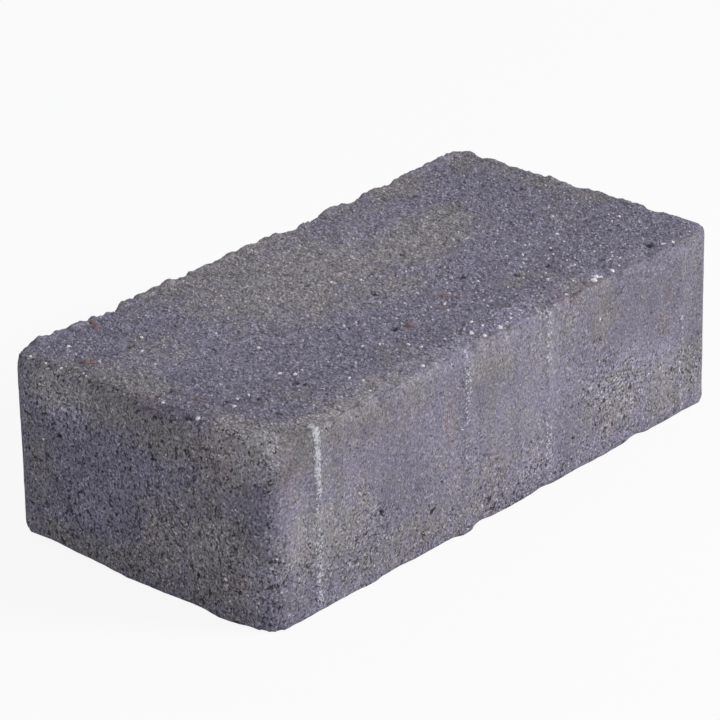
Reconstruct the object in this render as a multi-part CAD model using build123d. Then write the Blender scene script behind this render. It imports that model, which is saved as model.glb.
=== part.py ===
"""Rectangular concrete paving stone, pressed in one piece.

A block with rounded upright corners and softened arrises. Low spacer ribs stand on its four sides
and keep the joints open between stones that are laid side by side. The wear face has the open texture
of dry-pressed concrete: shallow pores over its field, and scallops where its edge has crumbled.
Millimetres. From the middle of the bed face, +X runs along the stone, +Y across it and +Z up.
"""

import os

from build123d import *

# Laying size: the stone and its ribs fill one module of the pattern.
module_length = 200.0
module_width = 100.0
stone_height = 57.0

# Body
corner_radius = 7.0  # upright corners
wear_arris_radius = 1.6  # round along the top edge, under the wear face
bed_arris_radius = 0.8  # round along the bottom edge, above the bed face

# Spacer ribs
rib_projection = 0.7  # from the side's face to the crest
rib_width = 6.0  # across the rib's foot, on the side's face
rib_inset = 18.25  # from each end of a pair's stretch of side to its rib
rib_stagger = 1.6  # shift of every pair, anticlockwise, so that facing ribs pass each other
rib_head_gap = 0.4  # from the round of the top edge down to the rib's head
rib_head_taper = 2.4  # height over which the head runs back into the side
pairs_on_side = 2
pairs_on_end = 1

# Open texture of the wear face
pore_spacing = 15.0
pore_width = 5.0  # of the widest pore
pore_depth = 0.6  # of the deepest pore
scallop_spacing = 15.0
scallop_width = 9.5  # of the widest scallop, along the edge
scallop_depth = 0.6  # of the deepest scallop
shallowest_share = 0.4  # depth of the shallowest pore or scallop
scatter_share = 0.618  # of a spacing, from one row to the next, so that no pores line up
scallop_wander_share = 0.35  # of a spacing, by which the scallops stray from an even row

body_length = module_length - 2 * rib_projection
body_width = module_width - 2 * rib_projection


def round_of(width, rise):
    """Radius of the round that is that wide and rises that far."""
    return (width**2 / 4 + rise**2) / (2 * rise)


# A rib is the proud slice of an upright round bar that is sunk in the side.
rib_radius = round_of(rib_width, rib_projection)
rib_axis_depth = rib_radius - rib_projection

# The pores keep to the field inside the scallops.
field_length = body_length - 2 * scallop_width
field_width = body_width - 2 * scallop_width


def stone_body():
    """The pressed block, without its ribs."""
    block = extrude(RectangleRounded(body_length, body_width, corner_radius), stone_height)
    block = fillet(block.edges().group_by(Axis.Z)[-1], wear_arris_radius)
    return fillet(block.edges().group_by(Axis.Z)[0], bed_arris_radius)


def spacer_rib():
    """One rib's round bar, upright on the origin, with a head that narrows until it meets the side."""
    foot = bed_arris_radius
    head = stone_height - wear_arris_radius - rib_head_gap
    half_section = Polyline(
        (0, 0, foot),
        (rib_radius, 0, foot),
        (rib_radius, 0, head - rib_head_taper),
        (rib_axis_depth, 0, head),
        (0, 0, head),
        close=True,
    )
    return revolve(make_face(half_section), Axis.Z)


def rib_places(run_length, pairs):
    """Where the ribs stand along a side of that length, measured from its middle."""
    stretch = run_length / pairs
    for pair in range(pairs):
        start = pair * stretch - run_length / 2
        yield start + rib_inset + rib_stagger
        yield start + stretch - rib_inset + rib_stagger


def scatter(number):
    """A share from 0 to 1 that jumps about from one number to the next."""
    return number * scatter_share % 1


def hollow(place_x, place_y, width, depth, number):
    """The ball that leaves one hollow in the wear face, lifted by its own share of the depth."""
    radius = round_of(width, depth)
    own_depth = depth * (shallowest_share + (1 - shallowest_share) * scatter(number))
    return Pos(place_x, place_y, stone_height + radius - own_depth) * Rot(90, 0, 0) * Sphere(radius)


def pores():
    """The pores of the field, in rows that are shifted against each other both ways."""
    columns = int(field_length // pore_spacing)
    rows = int(field_width // pore_spacing)
    for row in range(rows):
        for column in range(columns):
            along = (column + scatter(row)) / columns - 1 / 2
            across = (row + scatter(column)) / rows - 1 / 2
            number = row * columns + column
            yield hollow(along * field_length, across * field_width, pore_width, pore_depth, number)


def scallops(run_length, face_distance):
    """The scallops along one edge, between its rounded corners. The edge faces -Y."""
    straight = run_length - 2 * (rib_projection + corner_radius)
    count = int(straight // scallop_spacing)
    for number in range(count):
        wander = scallop_wander_share * (scatter(number) - 1 / 2)
        place = straight * ((number + 1 / 2 + wander) / count - 1 / 2)
        yield hollow(place, -face_distance, scallop_width, scallop_depth, number)


def paving_stone():
    """The block with the ribs and scallops of its four sides, taken anticlockwise from the -Y side."""
    side = (module_length, body_width / 2, pairs_on_side)
    end = (module_width, body_length / 2, pairs_on_end)
    rib = spacer_rib()
    stone = stone_body()
    hollows = list(pores())
    for quarter_turn, (run_length, face_distance, pairs) in enumerate((side, end, side, end)):
        turn = Rot(0, 0, 90 * quarter_turn)
        for place in rib_places(run_length, pairs):
            stone += turn * Pos(place, rib_axis_depth - face_distance) * rib
        hollows += [turn * scallop for scallop in scallops(run_length, face_distance)]
    return stone - hollows


os.makedirs("parts", exist_ok=True)
export_step(paving_stone(), "parts/paving_stone.step")
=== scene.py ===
# %% [markdown]
# # A concrete paving stone
# Damp concrete is shaken and pressed into a steel mould, and the stone is pushed out while it is still soft.
# All that shows on it comes from that: a granular face on top, where the press shoe tore a lip along the
# edge, sides that slid along steel, ribs that keep neighbours apart, and two colours of mix that never
# blended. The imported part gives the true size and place, and this lesson models the surface inside that box.

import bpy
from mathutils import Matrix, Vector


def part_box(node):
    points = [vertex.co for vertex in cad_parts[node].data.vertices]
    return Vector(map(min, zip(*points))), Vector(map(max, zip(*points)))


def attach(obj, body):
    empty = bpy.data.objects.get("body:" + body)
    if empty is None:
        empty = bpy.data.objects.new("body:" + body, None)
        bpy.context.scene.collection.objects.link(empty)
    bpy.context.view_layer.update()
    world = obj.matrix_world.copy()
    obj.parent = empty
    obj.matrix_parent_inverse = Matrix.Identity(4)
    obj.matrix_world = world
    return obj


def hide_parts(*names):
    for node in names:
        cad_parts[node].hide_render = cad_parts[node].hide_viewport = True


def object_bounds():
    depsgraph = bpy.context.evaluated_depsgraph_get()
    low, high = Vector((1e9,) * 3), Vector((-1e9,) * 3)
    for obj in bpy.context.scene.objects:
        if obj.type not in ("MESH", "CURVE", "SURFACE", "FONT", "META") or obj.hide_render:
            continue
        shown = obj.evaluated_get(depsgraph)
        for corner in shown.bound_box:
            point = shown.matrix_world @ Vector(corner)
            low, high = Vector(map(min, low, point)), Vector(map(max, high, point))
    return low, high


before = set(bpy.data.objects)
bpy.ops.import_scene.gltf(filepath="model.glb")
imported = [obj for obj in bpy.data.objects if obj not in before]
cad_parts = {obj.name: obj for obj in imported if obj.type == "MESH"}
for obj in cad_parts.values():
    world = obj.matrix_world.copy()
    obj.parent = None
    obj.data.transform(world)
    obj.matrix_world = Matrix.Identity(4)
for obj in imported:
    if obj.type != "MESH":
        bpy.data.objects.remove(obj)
cad_low, cad_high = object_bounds()
print("CAD box in metres:", [round(value, 4) for value in (*cad_low, *cad_high)])

# %% Modules and units
import math
import random

import bmesh
import bpy
import numpy
from mathutils import Euler, Matrix, Vector, noise
from mathutils.bvhtree import BVHTree

MM = 0.001  # lengths below are in millimetres, and this turns them into metres
print("one millimetre is", MM, "m")

# %% [markdown]
# ## Camera
# The photograph looks down on one corner of the stone through a long lens, so its edges hardly converge.
# A camera can be aimed with a constraint, but a matrix says the same in one line: turn about Z, tilt about X,
# roll a little, and then step back along the camera's own Z axis.

# %% Camera at the photograph's angle
stone_middle = (cad_low + cad_high) / 2
camera_azimuth = math.radians(-48.64)  # 0 looks along +Y
camera_elevation = math.radians(24.55)
camera_roll = math.radians(-0.96)
camera_distance = 1167.3 * MM
aim_offset = Vector((-3.87, 4.47, 0)) * MM  # along the picture's own right and up

turn = Matrix.Rotation(camera_azimuth, 4, "Z")
turn = turn @ Matrix.Rotation(math.radians(90) - camera_elevation, 4, "X")
turn = turn @ Matrix.Rotation(camera_roll, 4, "Z")
aim = stone_middle + turn.to_3x3() @ aim_offset

camera_data = bpy.data.cameras.new("photo_camera")
camera_data.lens = 200.0
camera_data.sensor_width = 36.0
camera_data.clip_start = 0.05
camera = bpy.data.objects.new("photo_camera", camera_data)
camera.matrix_world = Matrix.Translation(aim) @ turn @ Matrix.Translation((0, 0, camera_distance))
bpy.context.collection.objects.link(camera)
bpy.context.scene.camera = camera
print("camera stands at", [round(value, 3) for value in camera.matrix_world.translation])

# %% [markdown]
# ## The mould's shape
# The mould is a plain box with rounded upright corners. A cube that is scaled to the body and then bevelled
# gives that: first the four upright edges, then the loop of edges on top. The foot stays sharp here, because
# the remesh further down rounds it enough. The body is a little smaller than the CAD box, which the ribs
# reach and the body doesn't.

# %% Block with rounded corners
stone_low, stone_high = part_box("paving_stone")
rib_projection = 0.7 * MM
half_length = stone_high.x - rib_projection
half_width = stone_high.y - rib_projection
height = stone_high.z
corner_radius = 7.0 * MM
wear_arris_radius = 1.6 * MM
level_slack = 0.01 * MM  # a vertex that is nearer to a height than this lies at it


def round_edges(shape, edges, radius, segments):
    """Bevels edges to a round of that radius."""
    bmesh.ops.bevel(
        shape, geom=edges, offset=radius, offset_type="OFFSET", affect="EDGES",
        segments=segments, profile=0.5, material=-1,
    )


def edges_at_height(shape, z):
    """The edges that lie level at one height."""
    return [edge for edge in shape.edges if all(abs(vert.co.z - z) < level_slack for vert in edge.verts)]


block = bmesh.new()
bmesh.ops.create_cube(block, size=1)
bmesh.ops.scale(block, vec=(2 * half_length, 2 * half_width, height), verts=block.verts)
bmesh.ops.translate(block, vec=(0, 0, height / 2), verts=block.verts)
uprights = [edge for edge in block.edges if abs(edge.verts[0].co.z - edge.verts[1].co.z) > height / 2]
round_edges(block, uprights, corner_radius, segments=10)
round_edges(block, edges_at_height(block, height), wear_arris_radius, segments=3)
print("block:", len(block.faces), "faces")

# %% [markdown]
# ## Spacer ribs
# Each side carries pairs of low upright ribs, so that stones laid side by side keep a joint open for sand.
# Each rib is the proud slice of a round bar that is sunk in the side, and its head narrows to a cone.
# The pairs stand a little off centre, so the ribs of two facing stones pass each other.

# %% Ribs on the four sides
rib_width = 6.0 * MM
rib_inset = 18.25 * MM
rib_stagger = 1.6 * MM
rib_foot = 0.8 * MM
rib_head_gap = 0.4 * MM
rib_head_taper = 2.4 * MM
rib_radius = (rib_width**2 / 4 + rib_projection**2) / (2 * rib_projection)
rib_axis_depth = rib_radius - rib_projection
rib_top = height - wear_arris_radius - rib_head_gap


def rib_places(run, pairs):
    """Where the ribs stand along a side of that length, from its middle."""
    stretch = run / pairs
    places = []
    for pair in range(pairs):
        start = pair * stretch - run / 2
        places += [start + rib_inset + rib_stagger, start + stretch - rib_inset + rib_stagger]
    return places


def upright_cone(shape, place, low, high, low_radius, high_radius):
    """A round bar, or a cone, that stands between two heights."""
    middle = Matrix.Translation((place.x, place.y, (low + high) / 2))
    bmesh.ops.create_cone(
        shape, cap_ends=True, segments=96, radius1=low_radius, radius2=high_radius,
        depth=high - low, matrix=middle,
    )


module_length = 2 * stone_high.x
module_width = 2 * stone_high.y
sides = ((module_length, half_width, 2), (module_width, half_length, 1)) * 2
rib_feet = []
for quarter_turn, (run, face_distance, pairs) in enumerate(sides):
    around = Matrix.Rotation(math.radians(90 * quarter_turn), 3, "Z")
    for place in rib_places(run, pairs):
        axis = around @ Vector((place, rib_axis_depth - face_distance, 0))
        upright_cone(block, axis, rib_foot, rib_top - rib_head_taper, rib_radius, rib_radius)
        upright_cone(block, axis, rib_top - rib_head_taper, rib_top, rib_radius, rib_axis_depth)
        rib_feet.append((around @ Vector((place, -face_distance, 0)), around @ Vector((0, -1, 0))))
print("ribs:", len(rib_feet))

# %% [markdown]
# ## One skin
# Block and ribs still overlap. A Boolean could join them, but it would leave long thin faces that can't hold
# any relief. A voxel remesh joins them as well, and lays an even net of small squares over the whole stone.
# The top and its edge carry the finest relief, so their faces are divided once more. The places on the sides
# where a grain fell out and left a pit are divided finer still.

# %% Remesh, then a finer net on top and round the side pits
voxel = 1.25 * MM
fine_band = 4.0 * MM  # how far down the sides the finer net reaches
pit_margin = 1.0  # the finer net reaches this far round a pit, in millimetres
side_pits = (  # place and radius in millimetres
    ((47, -49, 8), 1.0), ((32, -49, 12), 1.0), ((-32, -49, 12), 1.25), ((23, -49, 3), 1.0),
    ((-9, -49, 21), 0.8), ((-71, -49, 12), 0.8), ((-54, -49, 20), 0.9),
    ((-99, 29, 37), 1.0), ((-99, 0, 23), 1.1), ((-99, -6, 41), 1.0), ((-99, -19, 38), 0.9),
    ((-99, 20, 16), 1.1), ((-99, 9, 22), 0.9), ((-99, 12, 16), 1.1), ((-99, -22, 11), 1.0),
    ((-99, -19, 47), 1.1), ((-99, 35, 18), 0.9), ((-99, -23, 3), 1.0), ((-99, -40, 30), 0.9),
    ((99, 22, 31), 1.0), ((99, -18, 14), 1.1), ((31, 49, 20), 1.1), ((-44, 49, 36), 0.9),
)


def even_net(shape, size):
    """The shape as one mesh of small squares."""
    mesh = bpy.data.meshes.new("mould_shape")
    shape.to_mesh(mesh)
    source = bpy.data.objects.new("mould_shape", mesh)
    bpy.context.collection.objects.link(source)
    remesh = source.modifiers.new("even_net", "REMESH")
    remesh.mode = "VOXEL"
    remesh.voxel_size = size
    evaluated = source.evaluated_get(bpy.context.evaluated_depsgraph_get())
    net = bpy.data.meshes.new_from_object(evaluated)
    bpy.data.objects.remove(source)
    return net


net = even_net(block, voxel)
stone = bmesh.new()
stone.from_mesh(net)
top_edges = [edge for edge in stone.edges if all(vert.co.z > height - fine_band for vert in edge.verts)]
bmesh.ops.subdivide_edges(stone, edges=top_edges, cuts=1, use_grid_fill=True)
for middle, radius in side_pits:
    reach = radius + pit_margin
    pit_edges = [edge for edge in stone.edges if (edge.verts[0].co / MM - Vector(middle)).length < reach]
    bmesh.ops.subdivide_edges(stone, edges=pit_edges, cuts=3, use_grid_fill=True)
stone.normal_update()
print("skin:", len(stone.verts), "vertices,", len(stone.faces), "faces")

# %% [markdown]
# ## Measuring on the stone
# Relief needs to know where on the stone a point lies: how far in from the upright faces, which way is out,
# and how near a listed mark is. These helpers work in millimetres, because noise is easiest to read when
# its scale is a real size. The noise comes from mathutils. Its vector noise follows the clock until it gets a
# seed, so it gets one first, and every run makes the same stone.

# %% Helpers for relief
noise_seed = 7
noise.seed_set(noise_seed)
half_length_mm = half_length / MM
half_width_mm = half_width / MM
height_mm = height / MM
corner_mm = corner_radius / MM
drift_y = 1.7  # a drift leads through the noise at a slant
drift_z = 2.3
full_share = 0.2  # of a mark's reach, within which it has its full amount


def ramp(value, start, end):
    """A smooth step from 0 at start to 1 at end."""
    share = min(max((value - start) / (end - start), 0.0), 1.0)
    return share * share * (3 - 2 * share)


def lumps(place, size, drift=0.0):
    """Noise from about -1 to 1 with features of that size. Each drift gives another pattern."""
    return noise.noise(place / size + Vector((drift, drift * drift_y, drift * drift_z)))


def inset(place):
    """How far a place lies in from the nearest upright face, along the rounded plan."""
    beyond_x = abs(place.x) - (half_length_mm - corner_mm)
    beyond_y = abs(place.y) - (half_width_mm - corner_mm)
    outside = math.hypot(max(beyond_x, 0), max(beyond_y, 0)) + min(max(beyond_x, beyond_y), 0)
    return corner_mm - outside


def outward(place):
    """The level direction from a place to the nearest upright face."""
    beyond_x = abs(place.x) - (half_length_mm - corner_mm)
    beyond_y = abs(place.y) - (half_width_mm - corner_mm)
    if beyond_x > 0 and beyond_y > 0:
        direction = Vector((beyond_x, beyond_y, 0)).normalized()
    else:
        direction = Vector((beyond_x > beyond_y, beyond_x <= beyond_y, 0))
    return Vector((math.copysign(direction.x, place.x), math.copysign(direction.y, place.y), 0))


def marked(marks, place):
    """The sum of listed marks at a place: each has a spot in plan, a reach and an amount."""
    total = 0.0
    for (x, y), reach, amount in marks:
        total += amount * ramp(math.hypot(place.x - x, place.y - y), reach, full_share * reach)
    return total


print("the middle of the top lies", round(inset(Vector((0, 0, height_mm))), 1), "mm in from the sides")

# %% Helpers for pits
ragged_shift = 1.5
ragged_size = 1.3
chance_shuffle = 31.7  # spreads the middles of the cells, so that neighbours get unlike chances
least_radius = 0.6  # shares of the radius that is asked for
radius_spread = 0.8
pit_floor = 0.35  # share of a pit's radius that is floor


def ragged(place):
    """The place after a small shift by noise: what is measured from there has a ragged border."""
    return place + ragged_shift * noise.noise_vector(place / ragged_size)


def hollows(place, spacing, share, radius):
    """Depth from 0 to 1 of scattered pits: that share of the cells of that spacing holds one."""
    distances, centres = noise.voronoi(ragged(place) / spacing)
    chance = noise.cell(centres[0] * chance_shuffle) * 0.5 + 0.5
    if chance > share:
        return 0.0
    own_radius = radius * (least_radius + radius_spread * chance / share)
    return ramp(distances[0] * spacing, own_radius, own_radius * pit_floor)


print("a ragged border strays by up to about", ragged_shift, "mm")

# %% [markdown]
# ## The wear face
# The press shoe packs sand and cement into a tight granular face. Every grain is a small rounded head, so the
# relief is a Voronoi pattern that stands highest over the cell centres. Some grains were torn out as the shoe
# lifted, and they left pits. The deepest pits are listed one by one, where the photograph shows them.

# %% Relief of the wear face
grain_size = 1.9
grain_relief = 0.40
grain_rim = 0.45  # of a grain's size: how far from its middle its head sinks to the face
head_height = 0.75  # of the relief, for a middling grain
head_spread = 0.5
head_shuffle = 17.3
grain_roughness = 0.16
roughness_size = 0.9
face_heave = 0.22
heave_size = 16.0
pit_depth = 0.9
pit_spacing = 4.5
pit_share = 0.32  # of the cells of that spacing that hold a pit
pit_radius = 0.9
chance_pit = 0.85  # of the full depth, for pits that lie by chance
torn_pits = (  # place, reach and amount
    ((-74, 26), 2.2, 1.0),
    ((-83, -20), 2.0, 1.0),
    ((75, -43), 2.4, 1.2),
    ((-18, -24), 2.0, 1.0),
    ((22, -15), 2.0, 0.9),
    ((24, 9), 1.8, 0.9),
    ((-3, -4), 1.8, 0.8),
    ((-63, -26), 1.8, 0.8),
    ((57, -39), 1.8, 0.8),
    ((42, 12), 1.8, 0.8),
    ((-89, -4), 1.8, 0.9),
    ((-97, -18), 2.0, 0.9),
    ((-94, -3), 1.4, 0.7),
    ((-96, 29), 1.5, 0.7),
)


def wear_face_relief(place):
    """Height of the granular face at a place, and how deep it is pitted there."""
    distances, centres = noise.voronoi(place / grain_size)
    grain = (grain_rim - distances[0]) * (head_height + head_spread * noise.cell(centres[0] * head_shuffle))
    fine = lumps(place, roughness_size, drift=5.0)
    heave = lumps(place, heave_size, drift=3.0)
    scattered_pit = chance_pit * hollows(place, pit_spacing, pit_share, pit_radius)
    pit = max(scattered_pit, marked(torn_pits, ragged(place)))
    relief = grain_relief * grain + grain_roughness * fine + face_heave * heave - pit_depth * pit
    return relief, pit


print("pits placed by hand:", len(torn_pits))

# %% [markdown]
# ## The torn lip
# Concrete that squeezed up between shoe and mould wall breaks off as a ragged lip. Seen against the light it
# is a row of rounded scallops with sharp notches, which is what the absolute value of noise looks like.
# Along one end the lip has been rubbed away, and that edge is round. One corner is still crisp, and the near
# edge broke off sharp. Where one of these begins and where it is full is a pair of places along an axis.

# %% How the edges differ
worn_end_length = 10.0
fully_worn_share = 0.4  # of that length, counted from the end
crisp_corner = Vector((half_length_mm, -half_width_mm, height_mm))
crisp_reach = 26.0
crisp_core = 10.0
sharp_start = (-20, 10)
sharp_end = (97, 90)
sharp_inner = 8
sharp_outer = 3


def worn_end(place):
    """1 at the rubbed end and 0 along the other edges."""
    fully_worn = half_length_mm - fully_worn_share * worn_end_length
    return ramp(-place.x, half_length_mm - worn_end_length, fully_worn)


def crispness(place):
    """1 at the crisp corner and 0 away from it."""
    return ramp((place - crisp_corner).length, crisp_reach, crisp_core)


def sharpness(place):
    """1 along the stretch of the near edge that broke off sharp, and 0 elsewhere."""
    by_edge = ramp(-place.y, half_width_mm - sharp_inner, half_width_mm - sharp_outer)
    return by_edge * ramp(place.x, *sharp_start) * ramp(place.x, *sharp_end)


print("the rubbed end is", worn_end_length, "mm long")

# %% Sizes of the lip
top_drop = 0.5  # the pressed face lies this far under the CAD top, and the lip rises from it
lip_inner = 4.2
lip_crest = 1.5
lip_least = 0.2
scallop_length = 6.5
scallop_height = 1.8
lump_height = 0.9  # added to the scallops along part of the far side
lumpy_stretch = (30, 0)
crumb_length = 3.4
crumb_height = 0.5
dome_inset = 4
dome_height = 1.0
dome_reach = 18.0
dome_core = 8.0
domed_corner = Vector((half_length_mm - dome_inset, half_width_mm - dome_inset, height_mm))
far_rise = 0.4
far_stretch = (20, 32)
far_band = (30, 40)
near_band = (-20, -40)
near_bare = 0.6  # share of the lip that the whole near side has lost
near_bare_stretch = (-30, -50)  # from here it has lost the rest too
end_bare = 0.9
crisp_bare = 0.8
print("the lip rises from", lip_inner, "to", lip_crest, "mm in from the side")


# %% Height of the lip
def lip_height(place):
    """How high the lip stands over the pressed face."""
    scallops = abs(lumps(place, scallop_length, drift=1.0))
    crumbs = abs(lumps(place, crumb_length, drift=2.0))
    lumpy = ramp(place.x, *lumpy_stretch) * ramp(place.y, *far_band)
    torn = lip_least + (scallop_height + lump_height * lumpy) * scallops + crumb_height * crumbs
    torn += (dome_height - torn) * ramp((place - domed_corner).length, dome_reach, dome_core)
    far_side = far_rise * ramp(place.x, *far_stretch) * ramp(place.y, *far_band)
    bare = near_bare + (1 - near_bare) * ramp(place.x, *near_bare_stretch)
    near_side = ramp(place.y, *near_band) * bare
    kept = (1 - end_bare * worn_end(place)) * (1 - near_side) * (1 - crisp_bare * crispness(place))
    return (torn + far_side) * kept


print("the domed corner's lip is", round(lip_height(domed_corner), 2), "mm high")

# %% Chips and notches
chip_size = 11.0
chip_range = (0.12, 0.5)
chip_depth = 1.1
crumble_size = 3.0
crumble_depth = 0.6
sharp_spared = 0.8
spared_share = 0.85
less_rubbed = 0.7
less_rubbed_band = (34, 46)
edge_notches = (  # place, reach and amount
    ((18, 49), 6, 1.3),
    ((-57, 49), 3, 0.8),
    ((-69, 49), 2.5, 0.8),
    ((45, 49), 2.5, 1.1),
    ((-54, -49), 3, 1.0),
    ((-30, 49), 5, 0.7),
    ((18, -49), 2.5, 1.3),
    ((67, -49), 3, 1.4),
    ((31, -49), 2, 1.1),
    ((2, -49), 2, 1.0),
    ((53, -49), 2.5, 0.9),
    ((-14, -49), 2.5, 0.8),
)


def edge_chips(place):
    """How deep the top edge is broken away at a place."""
    broken = ramp(lumps(place, chip_size, drift=7.0), *chip_range)
    crumbled = max(lumps(place, crumble_size, drift=8.0), 0)
    kept = max(crispness(place), sharp_spared * sharpness(place))
    rubbed = worn_end(place) * (1 - less_rubbed * ramp(place.y, *less_rubbed_band))
    chips = (chip_depth * broken + crumble_depth * crumbled) * (1 - spared_share * kept)
    return chips + rubbed + marked(edge_notches, place)


print("notches placed by hand:", len(edge_notches))

# %% [markdown]
# ## Sides and foot
# The sides slid along the steel as the stone was pushed out. They are flat and tight, with a slow waviness
# and a few hollows where the mix bridged. At the foot the soft concrete slumped out in some places and was
# knocked up in others, so the lower edge wanders. Away from the edge the bed is flat.

# %% Relief of the sides
side_wave = 0.18
side_wave_length = 30.0
side_roughness = 0.07
side_roughness_size = 3.0
side_pit_depth = 0.9
side_pit_draw = 0.7  # less than 1 draws the pits out upright
side_pit_floor = 0.4  # share of a pit's radius that is floor
dimple_depth = 0.35  # of a pit's depth
dimple_draw = 0.6
dimple_spacing = 5.0
dimple_share = 0.28  # of the cells of that spacing that hold a dimple
dimple_radius = 1.1


def side_pit_at(place):
    """Depth from 0 to 1 of the side pits, which have ragged borders."""
    deepest = 0.0
    for middle, radius in side_pits:
        offset = ragged(place) - Vector(middle)
        offset.z *= side_pit_draw
        deepest = max(deepest, ramp(offset.length, radius, side_pit_floor * radius))
    return deepest


def side_relief(place):
    """Relief of a side at a place, and how deep it is pitted there."""
    drawn = Vector((place.x, place.y, place.z * dimple_draw))
    dimple = dimple_depth * hollows(drawn, dimple_spacing, dimple_share, dimple_radius)
    pit = max(dimple * (1 - crispness(place)), side_pit_at(place))
    wave = side_wave * lumps(place, side_wave_length, drift=4.0)
    roughness = side_roughness * lumps(place, side_roughness_size, drift=6.0)
    return wave + roughness - side_pit_depth * pit, pit


print("side pits placed by hand:", len(side_pits))

# %% Relief of the foot
foot_band = (7.0, 1.5)  # in from the side
slump_band = (8.0, 0.5)  # up from the floor
knock_band = (12.0, 0.0)
wander_size = 9.0
wander_reach = 0.2
crumble_reach = 0.15
foot_crumble_size = 3.5
small_knock_size = 6.0
small_knock = 0.2
foot_slumps = (  # place, reach and amount
    ((-18, -49), 5.5, 1.2),
    ((-99, -32), 9, 0.9),
    ((-58, -49), 6, 0.5),
    ((35, 49), 7, 0.8),
    ((99, 12), 8, 0.6),
)
foot_knocks = (
    ((-98, 48), 46, 2.2),
    ((-99, 16), 8, 0.25),
    ((-99, -17), 10, 0.25),
    ((-99, -43), 6, 0.4),
    ((61.5, -49), 6, 0.9),
    ((-10, -49), 5, 0.5),
    ((18, -49), 5, 0.5),
    ((-48, -49), 7, 0.4),
    ((60, 49), 12, 0.9),
)


def foot_move(place):
    """Where the foot slumped out or was knocked up."""
    by_edge = ramp(inset(place), *foot_band)
    wander = wander_reach * lumps(place, wander_size, drift=9.0)
    wander += crumble_reach * lumps(place, foot_crumble_size, drift=10.0)
    slump = (marked(foot_slumps, place) + wander) * ramp(place.z, *slump_band)
    small = small_knock * abs(lumps(place, small_knock_size, drift=12.0))
    knock = (marked(foot_knocks, place) + small) * ramp(place.z, *knock_band)
    return by_edge * (slump * outward(place) + Vector((0, 0, knock)))


print("slumps and knocks placed by hand:", len(foot_slumps) + len(foot_knocks))

# %% Move every vertex by its relief
upward_range = (0.25, 0.8)  # of a normal's Z, from side to top
edge_band = (5.0, 0.8)  # distance from the top edge
sharp_band = (1.6, 0.7)
sharp_rise = 0.6  # how far the round of the edge is filled where it broke off sharp
bed_facing = -0.5  # a normal with a lower Z is on the bed
bed_roughness = 0.2
bed_roughness_size = 4.0
# the depth of the pits, which the material paints as shade
pit_shade_layer = stone.verts.layers.float.new("pit_shade")
granular_layer = stone.verts.layers.float.new("granular")
moves = []
for vert in stone.verts:
    place = vert.co / MM
    facing_up = ramp(vert.normal.z, *upward_range)
    edge_distance = math.hypot(max(inset(place), 0), height_mm - place.z)
    near_edge = ramp(edge_distance, *edge_band)
    top_relief, top_pit = wear_face_relief(place)
    low_relief, side_pit = side_relief(place)
    granular = max(facing_up, near_edge * worn_end(place))
    relief = top_relief * granular + low_relief * (1 - granular) - near_edge * edge_chips(place)
    relief += sharp_rise * sharpness(place) * ramp(edge_distance, *sharp_band)
    lip = ramp(inset(place), lip_inner, lip_crest) * lip_height(place)
    move = vert.normal * relief + Vector((0, 0, facing_up * (lip - top_drop)))
    if vert.normal.z < bed_facing:
        move = Vector((0, 0, bed_roughness * abs(lumps(place, bed_roughness_size, drift=13.0))))
    moves.append((move + foot_move(place)) * MM)
    vert[pit_shade_layer] = min(max(top_pit * granular, side_pit * (1 - granular)), 1.0)
    vert[granular_layer] = granular
for vert, move in zip(stone.verts, moves):
    vert.co += move
    vert.co.z = max(vert.co.z, 0.0)
stone.normal_update()
print("relief moved vertices by up to", round(max(move.length for move in moves) / MM, 2), "mm")

# %% [markdown]
# ## Where the colours lie
# Two mixes were dropped into the mould, a violet one and a paler warm grey one. They lie in soft clouds that
# are much larger than any grain, so a value at each vertex holds them well. The clouds are listed one by one,
# each with a middle and a reach along the three axes, and noise frays their borders.

# %% Clouds of the warm mix
warm_clouds = (  # middle, reach along X, Y and Z, and strength
    ((-10, 20, 57), (36, 24, 12), 1.0),
    ((31, 11, 57), (25, 13, 12), 1.0),
    ((50, 19, 57), (18, 8, 12), 0.9),
    ((4, -6, 57), (16, 7, 12), 0.7),
    ((30, -30, 57), (8, 6, 12), 0.5),
    ((-18, 44, 57), (34, 10, 12), 1.0),
    ((62, 46, 57), (13, 9, 12), 1.0),
    ((92, 42, 57), (8, 8, 12), 0.7),
    ((-96, 12, 54), (14, 16, 10), 1.0),
    ((-97, 30, 50), (8, 14, 7), 1.0),
    ((-96, -36, 56), (8, 14, 8), 1.0),
    ((-78, -47, 55), (30, 8, 9), 1.0),
    ((-52, -45, 57), (24, 5, 6), 0.7),
    ((97, 15, 55), (9, 34, 12), 0.7),
    ((-76, -49, 22), (20, 8, 14), 0.9),
    ((-45, -49, 8), (30, 8, 7), 0.7),
    ((-75, -49, 42), (7, 8, 6), 0.7),
    ((-28, -49, 27), (7, 8, 8), 0.5),
    ((50, -49, 17), (18, 8, 9), 0.8),
    ((76, -49, 12), (12, 8, 9), 0.8),
    ((44, -49, 46), (6, 8, 9), 0.9),
    ((22, -49, 46), (16, 8, 10), 0.6),
    ((4, -49, 22), (14, 8, 18), 0.5),
    ((-38, -49, 50), (9, 8, 7), 0.7),
    ((-6, -49, 49), (12, 8, 8), 1.0),
    ((90, -49, 46), (12, 8, 12), 0.5),
    ((90, -49, 16), (9, 8, 9), 0.8),
    ((-99, -28, 18), (8, 18, 20), 1.0),
    ((-99, -32, 48), (8, 11, 12), 1.0),
    ((-99, -14, 48), (8, 13, 8), 1.0),
    ((-99, -9, 15), (8, 9, 13), 1.0),
    ((-99, 40, 28), (8, 7, 18), 0.7),
    ((-99, 14, 5), (8, 40, 7), 0.8),
    ((40, 49, 30), (35, 8, 20), 0.8),
    ((-50, 49, 22), (26, 8, 16), 0.7),
    ((99, -10, 25), (8, 24, 16), 0.8),
)
print("warm clouds:", len(warm_clouds))

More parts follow.
